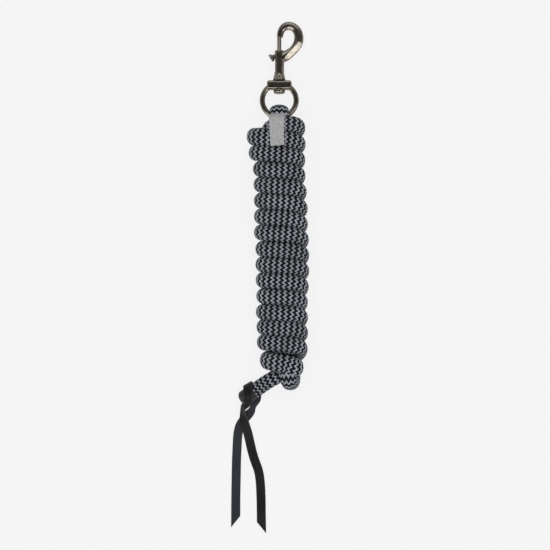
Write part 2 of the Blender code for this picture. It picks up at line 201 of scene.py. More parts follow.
def crossing(start, end, front, presses, level=False):
    """The rope's way from one side of the hank to the other, over its front or its back."""
    rows = []
    (x0, y0), (x1, y1) = start, end
    for i in range(POINTS_PER_HALF_TURN):
        t = i / POINTS_PER_HALF_TURN
        c, s = math.cos(math.pi * t), math.sin(math.pi * t)
        across = math.copysign(abs(c) ** (2 / TURN_POWER), c)
        rise = s ** (2 / TURN_POWER) * WRAP_RISE
        x = (x0 + x1) / 2 - (x1 - x0) / 2 * across
        gone = EVEN_SHARE * t + (1 - EVEN_SHARE) * (t**3 if front else 1 - (1 - t) ** 3)
        y = y0 + (y1 - y0) * (t if level else gone)
        press = [a + (b - a) * t for a, b in zip(*presses)]
        rows.append((x, y, HANK_Z + (rise if front else -rise), *press))
    return rows


def bend(x, y, z, radius_y, radius_z, way, steps, press, lean=0.0):
    """A bend between the back and the front of the hank, past y on the side that way gives. lean moves its
    back to the right and its front to the left."""
    rows = []
    for i in range(steps + 1):
        angle = math.pi * i / steps - math.pi / 2
        c, s = math.cos(angle), math.sin(angle)
        rows.append((x - lean * s, y + way * radius_y * c, z + radius_z * s, *press))
    return rows


def rope_route():
    """Rows of x, y, z in mm and the section's two factors, from the sewn end to the bound end."""
    core = [((right_x + left_x) / 2, right_y) for right_y, right_x, _, left_x in TURNS[1:-1]]
    rows = [(10.6, 121.0, 11.5, *CORE), (9.8, 130.0, 11.4, *CORE), (9.0, 139.0, 10.8, *EYE)]
    rows.append((8.7, 146.0, 10.1, *EYE))
    rows += bend(*EYE_CENTRE, BEND_R, BEND_R, 1, 12, EYE)
    rows += [(8.9, 146.0, 24.2, *EYE), (10.0, 139.5, 21.0, *CORE), (12.4, 130.0, 19.3, *CORE)]
    rows += [(x + CORE_HALF, y, HANK_Z, *CORE) for x, y in core]
    rows += [(18.0, -66.0, 19.8, *CORE), (17.4, -77.0, 20.8, *CORE), (17.2, -85.4, 24.6, *BIGHT)]
    rows += bend(19.2, -92.2, HANK_Z, 7.6, 10.6, -1, 12, BIGHT, lean=2.0)[::-1]
    rows += [(18.4, -84.0, 9.4, *BIGHT), (13.6, -76.0, 13.2, *CORE), (8.4, -66.0, 18.0, *CORE)]
    rows += [(x - CORE_HALF, y, HANK_Z, *CORE) for x, y in reversed(core)]
    rows += [
        (0.4, 126.5, 18.2, *CORE),
        (-1.4, 132.4, 19.6, *MIXED),
        (-1.7, 137.4, 24.4, *TURN),
        (2.0, 141.0, 29.6, *TURN),
        (8.2, 143.8, 31.6, *TURN),
        (16.0, 144.6, 31.6, *TURN),
        (22.2, 143.6, 29.4, *TURN),
        (26.2, 142.0, 24.6, *TURN),
    ]
    sides = []
    for right_y, right_x, left_y, left_x in TURNS:
        sides.append((right_x - WRAP_HALF, right_y))
        sides.append((left_x + WRAP_HALF, left_y))
    sides.append((25.0, -83.4))
    presses = [TURN] * len(sides)
    presses[1] = WIDE_TURN
    presses[-2] = WIDE_TURN
    presses[-1] = LAST_TURN
    last = len(sides) - 2
    for i in range(last + 1):
        rows += crossing(sides[i], sides[i + 1], i % 2 == 1, presses[i : i + 2], level=i == last)
    rows = rows[:-POINTS_LEFT_OUT]
    for degrees in range(75, -91, -15):
        angle = math.radians(degrees)
        x = LAST_BEND[0] + LAST_BEND_R * math.cos(angle)
        rows.append((x, LAST_BEND[1], LAST_BEND[2] + LAST_BEND_R * math.sin(angle), *LAST_TURN))
    rows += [
        (12.6, -88.0, 18.2, 0.9, 1.15),
        (6.6, -92.5, 16.9, 0.92, 1.12),
        (1.2, -95.8, 15.4, 0.96, 1.06),
        (-3.2, -98.3, 13.2, *FREE),
        (-7.6, -101.4, 11.4, *FREE),
        (-12.0, -104.6, 10.4, *FREE),
        (-16.2, -107.6, 10.2, *FREE),
        (*ROPE_END, *FREE),
        (-23.5, -112.8, 10.2, *FREE),
    ]
    return np.array(rows)


def catmull(points, per_span):
    """Points along a smooth curve through the given ones."""
    points = np.asarray(points, float)
    ends = np.vstack([2 * points[0] - points[1], points, 2 * points[-1] - points[-2]])
    t = (np.arange(per_span) / per_span)[:, None]
    out = []
    for a, b, c, d in zip(ends, ends[1:], ends[2:], ends[3:]):
        square, cube = 2 * a - 5 * b + 4 * c - d, 3 * b - a - 3 * c + d
        out.append(0.5 * (2 * b + (c - a) * t + square * t**2 + cube * t**3))
    return np.vstack([*out, points[-1:]])


def along(points):
    """Distance along a run of points."""
    return np.concatenate([[0], np.cumsum(np.linalg.norm(np.diff(points[:, :3], axis=0), axis=1))])


def sampled(at, known, values):
    """Each column of values, read at the distances in at."""
    return np.column_stack([np.interp(at, known, column) for column in np.asarray(values, float).T])


def resample(rows, spacing, smoothing):
    """Rows at even distances along a curve through the given ones, smoothed that many times."""
    rows = catmull(rows, 6)
    length = along(rows)
    rows = sampled(np.linspace(0, length[-1], int(length[-1] / spacing) + 1), length, rows)
    for _ in range(smoothing):
        rows[1:-1] = rows[1:-1] * 0.5 + (rows[:-2] + rows[2:]) * 0.25
    return rows


def unit(vectors):
    return vectors / np.maximum(np.linalg.norm(vectors, axis=1), 1e-9)[:, None]


def frames_along(points):
    """Unit tangents and a pair of normals that turn with them without twisting."""
    tangents = unit(np.gradient(points, axis=0))
    first = np.cross(tangents[0], (1.0, 0.0, 0.0))
    normals = [first / np.linalg.norm(first)]
    for before, after in zip(tangents, tangents[1:]):
        n = normals[-1] + np.cross(np.cross(before, after), normals[-1])
        n -= after * n.dot(after)
        normals.append(n / np.linalg.norm(n))
    normals = np.array(normals)
    return tangents, normals, np.cross(tangents, normals)


# ---------------------------------------------------------------- the braid

TEETH = 10
COLUMNS_PER_LEG = 2
COLUMNS = TEETH * 2 * COLUMNS_PER_LEG
PERIOD = 5.7
LIGHT_SHARE = 0.36
ZIGZAG = 1.45
RADIUS = 6.8
CREST = 0.35
VALLEY = -0.4
# How much closer together the bands are in a bend: this many mm of extra length for each unit of curvature.
BEND_CLOSING = 4.5
CURVATURE_WINDOW = 9
# Where the rings of one band lie, as shares of its width, and how high.
BAND_RINGS = ((0.0, VALLEY), (0.25, CREST), (0.75, CREST))


def braid_rings(total):
    """Distance and height of each ring, and the colour of the band that it starts."""
    periods = round(total / PERIOD)
    starts, heights = [], []
    for i in range(periods):
        for start, share in ((0.0, LIGHT_SHARE), (LIGHT_SHARE, 1 - LIGHT_SHARE)):
            for inside, height in BAND_RINGS:
                starts.append((i + start + inside * share) * total / periods)
                heights.append(height)
    return np.array([*starts, total]), np.array([*heights, VALLEY])


def braid(rows):
    """Places of the braided surface, ring by ring, in mm. The rings zigzag, so that each colour's band is a
    real ridge, and the bands are closer together in a bend."""
    path, press = rows[:, :3], rows[:, 3:]
    length = along(path)
    tangents, normals, sides = frames_along(path)
    curvature = np.linalg.norm(np.gradient(tangents, axis=0), axis=1) / np.gradient(length)
    curvature = np.pad(curvature, CURVATURE_WINDOW // 2, mode="edge")
    curvature = np.convolve(curvature, np.ones(CURVATURE_WINDOW) / CURVATURE_WINDOW, mode="valid")
    closing = 1 + BEND_CLOSING * (curvature[1:] + curvature[:-1]) / 2
    worn = np.concatenate([[0], np.cumsum(np.diff(length) * closing)])
    starts, heights = braid_rings(worn[-1])
    phase = np.arange(COLUMNS) / COLUMNS_PER_LEG
    saw = np.abs((phase % 2) - 1) * 2 - 1
    middle_of_leg = 1 - np.abs((phase % 1) - 0.5) * 2
    fade = np.clip(np.minimum(starts, worn[-1] - starts) / (2 * PERIOD), 0, 1)
    place = np.clip(starts[:, None] + fade[:, None] * ZIGZAG * saw, 0, worn[-1])
    at = np.interp(place.ravel(), worn, length)
    height = np.where(heights[:, None] > 0, heights[:, None] * (0.1 + 0.9 * middle_of_leg), VALLEY)
    turn = np.tile(2 * math.pi * np.arange(COLUMNS) / COLUMNS, len(starts))[:, None]
    centre = sampled(at, length, path)
    tangent = unit(sampled(at, length, tangents))
    offset = sampled(at, length, normals) * np.cos(turn) + sampled(at, length, sides) * np.sin(turn)
    offset *= (RADIUS + height).ravel()[:, None]
    through = outward(centre)
    through = unit(through - tangent * (through * tangent).sum(1)[:, None])
    across = np.cross(tangent, through)
    factors = sampled(at, length, press)
    offset = (
        through * ((offset * through).sum(1) * factors[:, 0])[:, None]
        + across * ((offset * across).sum(1) * factors[:, 1])[:, None]
    )
    return centre + offset, len(starts)


def outward(centre):
    """The way that the rope is pressed: from the hank's middle, and from the middle of the bend at each
    end."""
    x, y, z = centre.T
    middle = np.interp(y, [-90, 0, 100, 150], [12.5, 11.5, 9.0, 7.0])
    inside = np.clip((y + 92) / 4, 0, 1) * np.clip((150 - y) / 4, 0, 1)
    return np.column_stack(
        [
            0.45 * (x - middle) * inside,
            np.clip(y - EYE_CENTRE[1], 0, None) + np.clip(y + 91, None, 0),
            z - np.where(y > 145, EYE_CENTRE[2], HANK_Z),
        ]
    )


def link(tree, source, target):
    tree.links.new(source, target)


def add_node(tree, kind, **values):
    """A node of that kind. Values name its inputs or its own settings."""
    node = tree.nodes.new("ShaderNode" + kind)
    for name, value in values.items():
        label = name.replace("_", " ").title()
        if label in node.inputs:
            node.inputs[label].default_value = value
        else:
            setattr(node, name, value)
    return node


def add_ramp(tree, source, stops):
    ramp = tree.nodes.new("ShaderNodeValToRGB")
    elements = ramp.color_ramp.elements
    while len(elements) < len(stops):
        elements.new(0.5)
    for element, (position, colour) in zip(elements, stops):
        element.position = position
        element.color = (*colour, 1) if hasattr(colour, "__len__") else (colour, colour, colour, 1)
    link(tree, source, ramp.inputs[0])
    return ramp


def add_bump(tree, shader, height, strength, distance):
    bump = add_node(tree, "Bump", strength=strength, distance=distance)
    link(tree, height, bump.inputs["Height"])
    link(tree, bump.outputs[0], shader.inputs["Normal"])


def mixed_sum(tree, first, second, share):
    """first * (1 - share) + second * share, for two grey values."""
    mix = add_node(tree, "Mix", data_type="FLOAT")
    mix.inputs[0].default_value = share
    link(tree, first, mix.inputs[2])
    link(tree, second, mix.inputs[3])
    return mix.outputs[0]


def noise(tree, source, scale, detail=3, stretch=(1, 1, 1)):
    mapping = add_node(tree, "Mapping", scale=stretch)
    link(tree, source, mapping.inputs[0])
    made = add_node(tree, "TexNoise", scale=scale, detail=detail)
    link(tree, mapping.outputs[0], made.inputs[0])
    return made.outputs[0]


def make_yarn(name, pale, dark):
    """Yarn whose fibres run along each leg of the zigzag, between lines of equal V."""
    mat, tree, shader = node_material(name)
    uv = add_node(tree, "UVMap", uv_map="braid").outputs[0]
    place = add_node(tree, "TexCoord").outputs["Object"]
    fibres = noise(tree, uv, 4, 5, (0.6, 3.4, 1))
    patches = noise(tree, place, 60, 3)
    shade = mixed_sum(tree, fibres, patches, 0.35)
    ramp = add_ramp(tree, shade, [(0.36, dark), (0.6, pale)])
    link(tree, ramp.outputs[0], shader.inputs["Base Color"])
    add_bump(tree, shader, fibres, 0.4, 0.35 * MM)
    shader.inputs["Roughness"].default_value = 0.7
    shader.inputs["Specular IOR Level"].default_value = 0.12
    shader.inputs["Sheen Weight"].default_value = 0.02
    shader.inputs["Sheen Roughness"].default_value = 0.4
    return mat


def add_piece(name, places, faces, body, replaced, materials):
    """A mesh in mm, riding on its body and standing for CAD nodes."""
    mesh = bpy.data.meshes.new(name)
    mesh.from_pydata((np.asarray(places, float) * MM).tolist(), [], faces)
    mesh.shade_smooth()
    for mat in materials:
        mesh.materials.append(mat)
    piece = bpy.data.objects.new(name, mesh)
    bpy.context.scene.collection.objects.link(piece)
    return settle(piece, body, replaced)


def settle(piece, body, replaced):
    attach(piece, body)
    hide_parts(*replaced)
    return piece


def tube_faces(rings, around, closed=False):
    """Quads between rings of vertices, with a flat cap on each end unless the rings close on themselves."""
    faces = []
    for r in range(rings if closed else rings - 1):
        here = r * around
        there = (r + 1) % rings * around
        for c in range(around):
            d = (c + 1) % around
            faces.append((here + c, here + d, there + d, there + c))
    if not closed:
        last = (rings - 1) * around
        faces.append(tuple(range(around - 1, -1, -1)))
        faces.append(tuple(range(last, last + around)))
    return faces


def make_rope():
    """The braided rope, and its centreline in metres."""
    rows = resample(rope_route(), ROUTE_SPACING, ROUTE_SMOOTHING)
    places, rings = braid(rows)
    rope = add_piece(
        "braided_rope",
        places,
        tube_faces(rings, COLUMNS),
        "rope",
        ("rope_hank", "rope_eye", "rope_bight", "rope_tail"),
        (
            make_yarn("yarn_grey", (0.51, 0.55, 0.6), (0.22, 0.235, 0.27)),
            make_yarn("yarn_black", (0.008, 0.008, 0.014), (0.003, 0.003, 0.005)),
        ),
    )
    per_band = len(BAND_RINGS)
    r = np.repeat(np.arange(rings - 1), COLUMNS)
    c = np.tile(np.arange(COLUMNS), rings - 1)
    corners = [(c, r), (c + 1, r), (c + 1, r + 1), (c, r + 1)]
    uv = np.stack([np.stack([u / COLUMNS_PER_LEG, v / per_band], -1) for u, v in corners], 1).reshape(-1, 2)
    layer = rope.data.uv_layers.new(name="braid")
    caps = np.zeros((2 * COLUMNS, 2))
    layer.data.foreach_set("uv", np.vstack([uv, caps]).astype(np.float32).ravel())
    colours = np.concatenate([r // per_band % 2, [1, 1]])
    rope.data.polygons.foreach_set("material_index", colours.astype(np.int32))
    return rope, rows[:, :3] * MM


rope, rope_path = make_rope()

# ---------------------------------------------------------------- shapes

FLUTE_DEPTH = 0.07
CAST_VOXEL = 0.26
SHARP_ANGLE = math.radians(50)


def lathe(profile, around=64, flutes=None):
    """Places and faces of a solid of revolution about local Y. flutes gives a number of shallow grooves and
    the heights between which they run."""
    turn = 2 * math.pi * np.arange(around) / around
    rings = []
    for r, y in profile:
        radius = np.full(around, float(r))
        if flutes and flutes[1] < y < flutes[2]:
            radius *= 1 - FLUTE_DEPTH * np.clip(np.cos(flutes[0] * turn), 0, 1)
        rings.append(np.column_stack([radius * np.cos(turn), np.full(around, y), radius * np.sin(turn)]))
    return np.vstack(rings), tube_faces(len(rings), around)


def oval(half_width, half_depth, count, power):
    """Points of a superellipse, flatter than an ellipse as power goes over 2."""
    turn = 2 * math.pi * np.arange(count) / count
    c, s = np.cos(turn), np.sin(turn)
    u = half_width * np.sign(c) * np.abs(c) ** (2 / power)
    v = half_depth * np.sign(s) * np.abs(s) ** (2 / power)
    return u, v


def sweep(path, sections, near, closed=False):
    """Places and faces of a tube. sections holds each ring's points across and through, and across lies near
    the direction that near gives for each ring."""
    path = np.asarray(path, float)
    if closed:
        tangents = unit(np.roll(path, -1, 0) - np.roll(path, 1, 0))
    else:
        tangents = unit(np.gradient(path, axis=0))
    near = np.broadcast_to(np.asarray(near, float), path.shape)
    across = unit(near - tangents * (near * tangents).sum(1)[:, None])
    through = np.cross(across, tangents)
    rings = []
    for i, place in enumerate(path):
        u, v = sections[i]
        rings.append(place + np.outer(u, across[i]) + np.outer(v, through[i]))
    return np.vstack(rings), tube_faces(len(rings), len(rings[0]), closed)


def block(low, high, bevel=0.0):
    """Places and faces of a box with its edges rounded."""
    bm = bmesh.new()
    bmesh.ops.create_cube(bm, size=1)
    low, high = Vector(low), Vector(high)
    place = Matrix.Translation((low + high) / 2) @ Matrix.Diagonal((*(high - low), 1))
    bmesh.ops.transform(bm, matrix=place, verts=bm.verts)
    if bevel:
        bmesh.ops.bevel(bm, geom=bm.edges[:], offset=bevel, segments=5, profile=0.5, affect="EDGES")
    bm.verts.ensure_lookup_table()
    return np.array([v.co for v in bm.verts]), [[v.index for v in f.verts] for f in bm.faces]


def solid(shape, place=None):
    """A helper object in mm, with its faces turned out."""
    places, faces = shape
    mesh = bpy.data.meshes.new("helper")
    mesh.from_pydata(np.asarray(places).tolist(), [], faces)
    if place:
        mesh.transform(place)
    bm = bmesh.new()
    bm.from_mesh(mesh)
    bmesh.ops.recalc_face_normals(bm, faces=bm.faces)
    bm.to_mesh(mesh)
    bm.free()
    obj = bpy.data.objects.new("helper", mesh)
    bpy.context.scene.collection.objects.link(obj)
    return obj


def worked(base, steps=(), smoothing=None):
    """The mesh of base after its unions and cuts. Smoothing gives it soft corners like a cast piece's."""
    for operation, other in steps:
        modifier = base.modifiers.new(operation, "BOOLEAN")
        modifier.operation = operation
        modifier.object = other
    if smoothing is not None:
        remesh = base.modifiers.new("remesh", "REMESH")
        remesh.mode = "VOXEL"
        remesh.voxel_size = CAST_VOXEL
        remesh.use_smooth_shade = True
        soften = base.modifiers.new("soften", "SMOOTH")
        soften.factor = 0.5
        soften.iterations = smoothing
    graph = bpy.context.evaluated_depsgraph_get()
    mesh = bpy.data.meshes.new_from_object(base.evaluated_get(graph))
    for helper in [base, *(other for _, other in steps)]:
        bpy.data.objects.remove(helper)
    return mesh


def place_mesh(name, mesh, place, body, replaced, mat):
    """A finished mesh in mm, put in its place as a piece."""
    mesh.name = name
    mesh.transform(Matrix.Scale(MM, 4) @ place)
    mesh.materials.clear()
    mesh.materials.append(mat)
    mesh.shade_smooth()
    mesh.set_sharp_from_angle(angle=SHARP_ANGLE)
    piece = bpy.data.objects.new(name, mesh)
    bpy.context.scene.collection.objects.link(piece)
    return settle(piece, body, replaced)


# ---------------------------------------------------------------- the snap


def make_metal(name, base, dark, rough):
    """Worn metal, darker in patches, with fine scratches and pores."""
    mat, tree, shader = node_material(name)
    place = add_node(tree, "TexCoord").outputs["Object"]
    patches = noise(tree, place, 180, 4)
    scratches = noise(tree, place, 900, 3, (1, 0.12, 1))
    pores = noise(tree, place, 1500, 2)
    ramp = add_ramp(tree, patches, [(0.35, dark), (0.62, base)])
    link(tree, ramp.outputs[0], shader.inputs["Base Color"])
    worn = mixed_sum(tree, patches, scratches, 0.5)
    polish = add_ramp(tree, worn, [(0.3, rough + 0.08), (0.7, rough - 0.05)])
    link(tree, polish.outputs[0], shader.inputs["Roughness"])
    add_bump(tree, shader, mixed_sum(tree, pores, scratches, 0.4), 0.05, 0.03 * MM)
    shader.inputs["Metallic"].default_value = 1.0
    shader.inputs["Specular Tint"].default_value = (0.6, 0.55, 0.5, 1)
    return mat


# Places along the hook, from its nose to its root in the barrel, in mm from the middle of the ring's wire:
# across, along, half width, half depth.
HOOK_LINE = [
    (0.6, 76.2, 2.75, 2.6),
    (1.1, 79.9, 3.1, 2.8),
    (2.6, 83.8, 3.3, 3.0),
    (5.2, 86.2, 3.7, 3.2),
    (8.8, 87.15, 3.95, 3.3),
    (13.0, 86.0, 3.95, 3.4),
    (16.5, 82.8, 4.0, 3.5),
    (18.2, 78.4, 4.2, 3.6),
    (18.3, 73.3, 4.4, 3.7),
    (16.9, 68.9, 4.3, 3.8),
    (14.0, 64.7, 4.1, 3.9),
    (10.2, 61.2, 4.3, 4.0),
    (6.4, 58.6, 4.9, 4.0),
    (2.2, 56.2, 4.4, 3.9),
]
BARREL_R = 4.5
# The ground flat on the outside of the arm: its size and tilt, how far it is cut in, and its height.
FLAT_HALF = 11.5
FLAT_TILT = math.radians(23)
FLAT_INSET = 0.9
FLAT_HEIGHT = 2.93
CROWN_CENTRE = (8.8, 79.2, 0)
RING_R = 15.9
RING_WIRE_R = 2.5
RING_STEPS = 144
# The hollow under the ring's block, which clears the rivet's head.
HOLLOW_Y = 24.1
HOLLOW_HALF = (7.6, 3.3, 8.6)
SPRING_TURNS = 6.0
SPRING_LOW = 39.4
SPRING_HIGH = 53.2
SPRING_R = 1.85
SPRING_WIRE_R = 0.2
KNOB_ROOT = 61.2
KNOB_LEAN = math.radians(33)
SNAP_PLACE = Matrix.Translation(EYE_CENTRE) @ Matrix.Rotation(math.radians(-9.25), 4, "X")
ALONG_KNOB = Matrix.Translation((0, KNOB_ROOT, 0)) @ Matrix.Rotation(math.radians(90) + KNOB_LEAN, 4, "Z")


def make_snap_casting(metal):
    """The body: the hook and its barrel, bored for the bolt and slotted for the button."""
    barrel = solid(
        lathe(
            [
                (5.2, 35.0),
                (5.7, 35.2),
                (5.9, 35.6),
                (5.9, 36.1),
                (5.9, 36.6),
                (5.6, 37.1),
                (5.0, 37.5),
                (4.9, 37.9),
                (5.3, 38.4),
                (5.3, 39.0),
                (4.9, 39.6),
                (BARREL_R + 0.1, 40.4),
                (BARREL_R, 42.0),
                (BARREL_R, 60.6),
                (BARREL_R - 0.15, 62.6),
                (BARREL_R - 0.8, 63.6),
            ],
            around=112,
            flutes=(14, 35.1, 37.2),
        )
    )
    line = catmull(HOOK_LINE, 8)
    path = np.column_stack([line[:, :2], np.zeros(len(line))])
    arm = solid(sweep(path, [oval(h, w, 40, 2.4) for w, h in line[:, 2:]], (0, 0, 1)))
    bore = solid(lathe([(2.6, 33.0), (2.6, 62.2), (2.25, 62.3), (2.25, 77.3)], 48))
    slot = solid(block((-7, 42.9, -1.75), (-0.5, 61.4, 1.75)))
    outward_side = Vector((0.779, -0.627, 0))
    on_flat = Vector((13.4, 61.37, 0)) - outward_side * FLAT_INSET + Vector((0, 0, FLAT_HEIGHT))
    normal = outward_side * math.sin(FLAT_TILT) + Vector((0, 0, math.cos(FLAT_TILT)))
    turn = normal.to_track_quat("Z", "Y").to_matrix().to_4x4()
    cutter = block((-FLAT_HALF, -FLAT_HALF, 0), (FLAT_HALF, FLAT_HALF, 8))
    flat = solid(cutter, Matrix.Translation(on_flat) @ turn)
    chamfer_profile = [(0.5, -0.24), (4.7, 2.05), (6.9, 3.25), (7.1, 6.0), (0.5, 6.0)]
    upright = Matrix.Translation(CROWN_CENTRE) @ Matrix.Rotation(math.radians(90), 4, "X")
    chamfer = solid(lathe(chamfer_profile, 96), upright)
    steps = [("UNION", arm)] + [("DIFFERENCE", cut) for cut in (bore, slot, flat, chamfer)]
    mesh = worked(barrel, steps, smoothing=7)
    place_mesh("snap_casting", mesh, SNAP_PLACE, "snap", ["snap_body"], metal)


def make_bolt(turned):
    profile = [(1.95, 53.6), (2.3, 53.9), (2.3, 61.6), (1.95, 61.9), (1.9, 76.3), (1.75, 76.8), (1.3, 77.0)]
    bolt = worked(solid(lathe(profile, 48)))
    place_mesh("snap_bolt", bolt, SNAP_PLACE, "bolt", ["bolt_pin"], turned)


def make_button(turned):
    button_profile = [
        (0.8, 0.9),
        (0.8, 3.9),
        (1.6, 4.0),
        (1.65, 6.2),
        (2.5, 6.5),
        (2.9, 6.9),
        (3.1, 7.5),
        (3.5, 8.4),
        (3.9, 8.8),
        (4.0, 9.2),
        (3.95, 9.5),
        (3.6, 9.7),
        (3.2, 9.55),
        (2.6, 9.15),
        (1.6, 8.75),
        (0.4, 8.65),
    ]
    button = worked(solid(lathe(button_profile, 64)))
    place = SNAP_PLACE @ ALONG_KNOB
    place_mesh("thumb_button", button, place, "bolt", ["thumb_knob"], turned)


def make_ring(metal):
    """The swivel ring: round wire, with a block on it that the rivet goes through."""
    turn = 2 * math.pi * np.arange(RING_STEPS) / RING_STEPS
    circle = np.column_stack([RING_R * np.sin(turn), RING_R - RING_R * np.cos(turn), np.zeros(RING_STEPS)])
    wire = [oval(RING_WIRE_R, RING_WIRE_R, 36, 2)] * RING_STEPS
    ring = solid(sweep(circle, wire, (0, 0, 1), closed=True))
    bridge = solid(block((-11.6, 26.0, -4.4), (11.6, 34.7, 4.4), 2.3))
    hole = solid(lathe([(2.55, 20), (2.55, 40)], 48))
    ball = bmesh.new()
    bmesh.ops.create_uvsphere(ball, u_segments=64, v_segments=32, radius=1)
    place = Matrix.Translation((0, HOLLOW_Y, 0)) @ Matrix.Diagonal((*HOLLOW_HALF, 1))
    bmesh.ops.transform(ball, matrix=place, verts=ball.verts)
    ball.verts.ensure_lookup_table()
    hollow = solid((np.array([v.co for v in ball.verts]), [[v.index for v in f.verts] for f in ball.faces]))
    ball.free()
    steps = [("UNION", bridge), ("DIFFERENCE", hole), ("DIFFERENCE", hollow)]
    eye = worked(ring, steps, smoothing=4)
    place_mesh("swivel_eye", eye, SNAP_PLACE, "ring", ["swivel_ring"], metal)


def make_rivet(turned):
    rivet_profile = [
        (1.5, 22.3),
        (4.0, 22.4),
        (4.9, 22.8),
        (5.3, 23.5),
        (5.5, 24.3),
        (5.45, 25.2),
        (5.2, 25.9),
        (4.3, 26.4),
        (3.2, 26.8),
        (2.25, 26.9),
        (2.25, 38.6),
    ]
    rivet = worked(solid(lathe(rivet_profile, 64)))
    place_mesh("swivel_post", rivet, SNAP_PLACE, "snap", ["swivel_rivet"], turned)


def make_spring():
    """The coil spring in the barrel, at one fixed length."""
    steel = make_metal("spring_wire", (0.42, 0.41, 0.4), (0.3, 0.29, 0.28), 0.28)
    wind = np.linspace(0, 1, 241)
    angle = 2 * math.pi * SPRING_TURNS * wind
    rise = SPRING_LOW + (SPRING_HIGH - SPRING_LOW) * wind
    coil = np.column_stack([SPRING_R * np.cos(angle), rise, SPRING_R * np.sin(angle)])
    section = oval(SPRING_WIRE_R, SPRING_WIRE_R, 12, 2)
    wire = worked(solid(sweep(coil, [section] * len(coil), (0, 1, 0))))
    spring = place_mesh("bolt_coil", wire, SNAP_PLACE, "snap", ["bolt_spring"], steel)
    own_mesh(spring)


def make_snap():
    metal = make_metal("antique_nickel_cast", (0.235, 0.212, 0.18), (0.15, 0.134, 0.112), 0.22)
    turned = make_metal("antique_nickel_turned", (0.25, 0.228, 0.195), (0.18, 0.163, 0.14), 0.18)
    make_snap_casting(metal)
    make_bolt(turned)
    make_button(turned)
    make_ring(metal)
    make_rivet(turned)
    make_spring()


make_snap()

# ---------------------------------------------------------------- thread and label


def make_thread(name, base, dark, scale, direction):
    mat, tree, shader = node_material(name)
    place = add_node(tree, "TexCoord").outputs["Object"]
    fibres = noise(tree, place, scale, 4, direction)
    ramp = add_ramp(tree, fibres, [(0.35, dark), (0.7, base)])
    link(tree, ramp.outputs[0], shader.inputs["Base Color"])
    add_bump(tree, shader, fibres, 0.35, 0.2 * MM)
    shader.inputs["Roughness"].default_value = 0.62
    shader.inputs["Specular IOR Level"].default_value = 0.4
    return mat


EYE_WHIPPING_Y = (146.75, 147.2, 147.65)
END_WHIPPING_R = 7.4
THREAD_PITCH = 0.95
THREAD_RIPPLE = 0.16
# Distances along the rope's end: where the thread begins, where its dome begins, and the dome's tip.
SLEEVE_START, DOME_START, DOME_TIP = -6.4, 4.0, 9.0
THREAD = make_thread("waxed_thread", (0.03, 0.032, 0.045), (0.008, 0.008, 0.012), 700, (1, 1, 1))


def make_eye_whipping():
    """Three turns of waxed thread that close the rope's eye under the ring."""
    places, faces = [], []
    turn = 2 * math.pi * np.arange(72) / 72
    u, v = oval(9.4, 12.9, 72, 5)
    for y in EYE_WHIPPING_Y:
        wave = 0.06 * np.sin(turn * 9 + y * 7)
        loop = np.column_stack([EYE_CENTRE[0] + u, np.full(72, y) + wave, EYE_CENTRE[2] + v])
        near = np.column_stack([np.zeros(72), np.ones(72), np.zeros(72)])
        ring, ring_faces = sweep(loop, [oval(0.24, 0.4, 12, 2)] * 72, near, closed=True)
        start = sum(len(p) for p in places)
        faces += [tuple(start + i for i in f) for f in ring_faces]
        places.append(ring)
    places = np.vstack(places)
    add_piece("eye_whipping", places, faces, "rope", ["eye_stitching"], [THREAD])


def make_end_whipping():
    """The rope's bound end: thread wound side by side, closed over the end in a dome."""
    rows = []
    steps = 140
    for i in range(steps + 1):
        distance = SLEEVE_START + (DOME_TIP - SLEEVE_START) * i / steps
        r = END_WHIPPING_R
        if distance > DOME_START:
            r *= math.sqrt(max(0.0, 1 - ((distance - DOME_START) / (DOME_TIP - DOME_START)) ** 2))
        ripple = THREAD_RIPPLE * abs(math.sin(math.pi * distance / THREAD_PITCH))
        rows.append((max(r - THREAD_RIPPLE + ripple, 0.25), distance))
    way = Vector(ROPE_END_WAY)
    turned = Matrix.Rotation(math.atan2(way.y, way.x) - math.radians(90), 4, "Z")
    place = Matrix.Translation(Vector(ROPE_END) + way * 0.3) @ turned
    mesh = worked(solid(lathe(rows, 72), place))
    return place_mesh("end_whipping", mesh, Matrix(), "rope", ["rope_end_binding"], THREAD)


# The label's edges, from its top to its foot: Y at the left edge, left X, right X.
LABEL_ROWS = [
    (152.5, -2.5, 18.4),
    (151.6, -2.0, 16.4),
    (150.6, -1.6, 14.6),
    (149.2, -1.2, 13.5),
    (144.0, -0.8, 13.2),
    (137.0, -0.4, 13.1),
    (130.0, 0.0, 13.2),
    (122.8, 0.4, 13.25),
]
LABEL_SLOPE = 1.5
LABEL_THICKNESS = 0.7
# The label's top runs at least this high over the ring's wire, from this place on.
RING_CLEARANCE = 27.0
RING_FOOT_Y = 150
ABOVE_ALL = 60
BRIDGE_PASSES = 3
SLACK_PASSES = 14
LABEL_LIFT = 0.25


def make_label_cloth():
    """Woven satin tape: fine ribs across and along it."""
    mat, tree, shader = node_material("woven_tape")
    place = add_node(tree, "TexCoord").outputs["Object"]
    ribs = add_node(tree, "TexWave", bands_direction="Y", scale=560, distortion=1.2, detail=2)
    link(tree, place, ribs.inputs[0])
    cross = add_node(tree, "TexWave", bands_direction="X", scale=560, distortion=1.2, detail=2)
    link(tree, place, cross.inputs[0])
    weave = mixed_sum(tree, ribs.outputs["Fac"], cross.outputs["Fac"], 0.5)
    flecks = noise(tree, place, 900, 4)
    shade = mixed_sum(tree, weave, flecks, 0.55)
    ramp = add_ramp(tree, shade, [(0.34, (0.24, 0.24, 0.25)), (0.62, (0.64, 0.638, 0.642))])
    link(tree, ramp.outputs[0], shader.inputs["Base Color"])
    add_bump(tree, shader, shade, 0.35, 0.25 * MM)
    shader.inputs["Roughness"].default_value = 0.6
    shader.inputs["Specular IOR Level"].default_value = 0.3
    return mat


